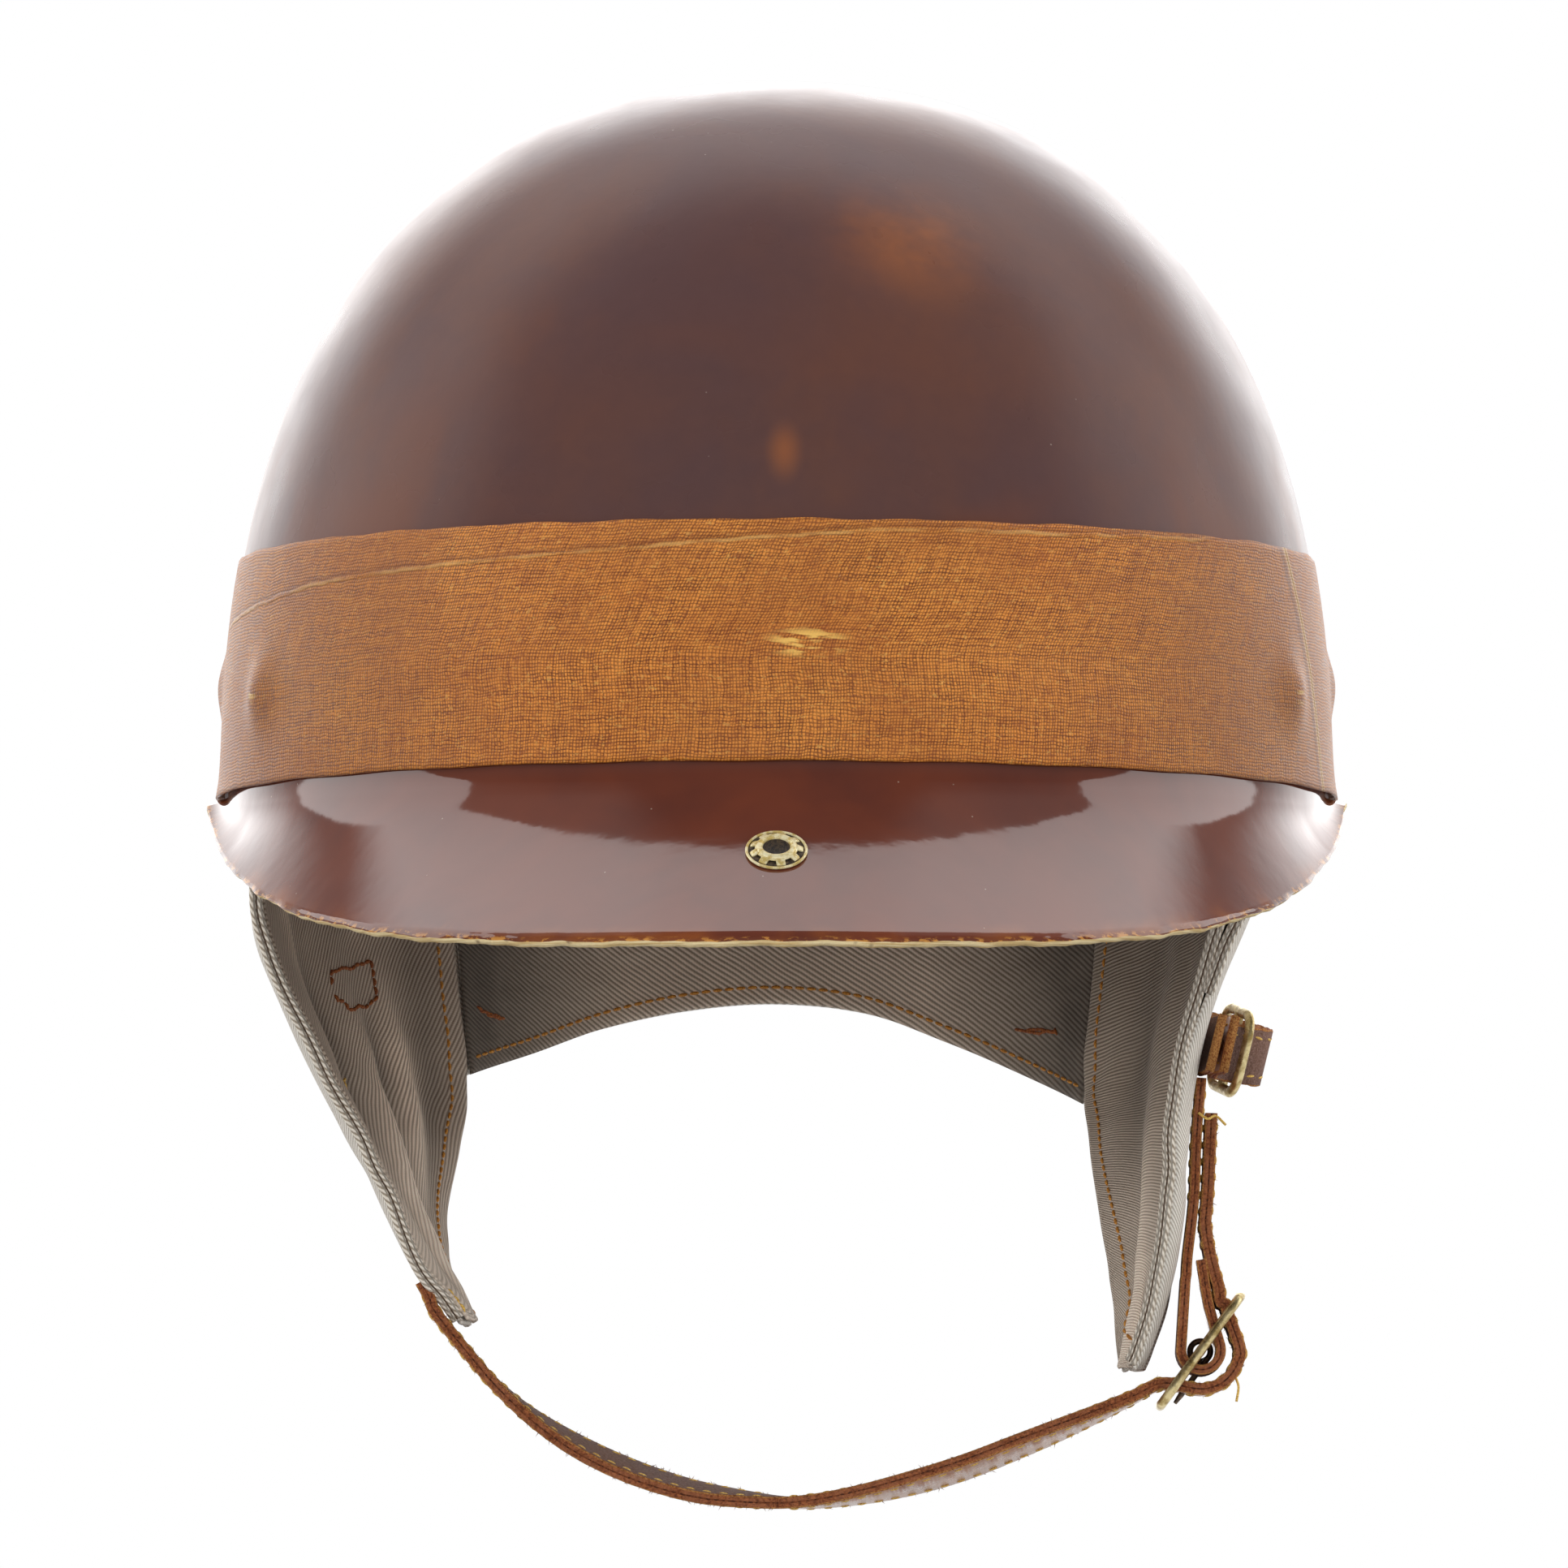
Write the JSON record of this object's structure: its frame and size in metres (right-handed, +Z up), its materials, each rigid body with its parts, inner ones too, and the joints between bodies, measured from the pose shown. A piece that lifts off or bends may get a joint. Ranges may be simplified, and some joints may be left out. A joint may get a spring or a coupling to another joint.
{
  "type": "racing helmet",
  "caption": "Half-shell racing helmet: lacquered dome, short peak, linen band, cloth ear flaps and curtain, buckled straps.",
  "frame": {"origin": "centre of the head opening, in the plane of the shell's lower edge", "axes": "+Z up through the crown, -Y to the front (the peak), +X to the wearer's left"},
  "size_m": [0.2232, 0.2931, 0.2809],
  "materials": {
    "lacquer": "dark brown lacquer over laminated cloth and resin, high gloss",
    "linen": "varnished plain weave linen, orange tan",
    "brass": "aged brass, half dull",
    "wire": "dark tarnished wire",
    "twill": "grey brown cotton twill",
    "lining_cotton": "grey brown cotton lining",
    "leather": "tan brown leather with stitched edges",
    "tape": "unbleached woven cotton tape",
    "cork": "pressed cork, matt"
  },
  "bodies": {
    "helmet": {"shell": "lacquer", "peak": "lacquer", "linen_band": "linen", "hanger_tape": "tape", "sweatband": "leather", "cork_lining": "cork", "crown_cord": "tape", "eyelet": "brass", "eyelet_washer": "brass", "neck_curtain": "twill", "neck_curtain_lining": "lining_cotton", "nape_strap": "leather", "nape_loop_right": "leather", "nape_loop_left": "leather", "rivet_1": "brass", "rivet_2": "brass", "rivet_3": "brass", "rivet_4": "brass", "rivet_5": "brass", "rivet_6": "brass", "rivet_7": "brass", "rivet_8": "brass", "rivet_washer_1": "brass", "rivet_washer_2": "brass", "rivet_washer_3": "brass", "rivet_washer_4": "brass", "rivet_washer_5": "brass", "rivet_washer_6": "brass", "rivet_washer_7": "brass", "rivet_washer_8": "brass", "cradle_tape_1": "tape", "cradle_tape_2": "tape", "cradle_tape_3": "tape", "cradle_tape_4": "tape", "cradle_tape_5": "tape", "cradle_tape_6": "tape", "cradle_tape_7": "tape", "cradle_tape_8": "tape"},
    "right_side": {"right_flap": "twill", "right_flap_lining": "lining_cotton", "right_flap_piping": "twill", "chin_strap": "leather"},
    "left_side": {"left_flap": "twill", "left_flap_lining": "lining_cotton", "left_flap_piping": "twill", "chin_chape": "leather", "nape_chape": "leather"},
    "chin_frame": {"chin_buckle_frame": "brass"},
    "chin_tongue": {"chin_buckle_tongue": "wire"},
    "nape_frame": {"nape_buckle_frame": "brass"},
    "nape_tongue": {"nape_buckle_tongue": "wire"}
  },
  "joints": [
    {"name": "right_flap_hinge", "type": "hinge", "parent": "helmet", "child": "right_side", "pos_m": [-0.10147, -0.018, -0.0002], "axis": [-0.2883, -0.9576, 0], "range_deg": [0, 16], "deforming": ["chin_strap"]},
    {"name": "left_flap_hinge", "type": "hinge", "parent": "helmet", "child": "left_side", "pos_m": [0.10147, -0.018, -0.0002], "axis": [-0.2883, 0.9576, 0], "range_deg": [0, 16], "deforming": ["nape_strap"]},
    {"name": "chin_buckle_turn", "type": "hinge", "parent": "left_side", "child": "chin_frame", "pos_m": [0.0835, 0.0125, -0.1082], "axis": [0, -1, 0], "range_deg": [0, 8]},
    {"name": "chin_tongue_turn", "type": "hinge", "parent": "chin_frame", "child": "chin_tongue", "pos_m": [0.0835, 0.0125, -0.1082], "axis": [0, -1, 0], "range_deg": [0, 60]},
    {"name": "nape_buckle_turn", "type": "hinge", "parent": "left_side", "child": "nape_frame", "pos_m": [0.08987, 0.02577, -0.04817], "axis": [-0.2339, 0.1078, -0.9663], "range_deg": [0, 8]},
    {"name": "nape_tongue_turn", "type": "hinge", "parent": "nape_frame", "child": "nape_tongue", "pos_m": [0.08987, 0.02577, -0.04817], "axis": [-0.2339, 0.1078, -0.9663], "range_deg": [0, 60]}
  ]
}
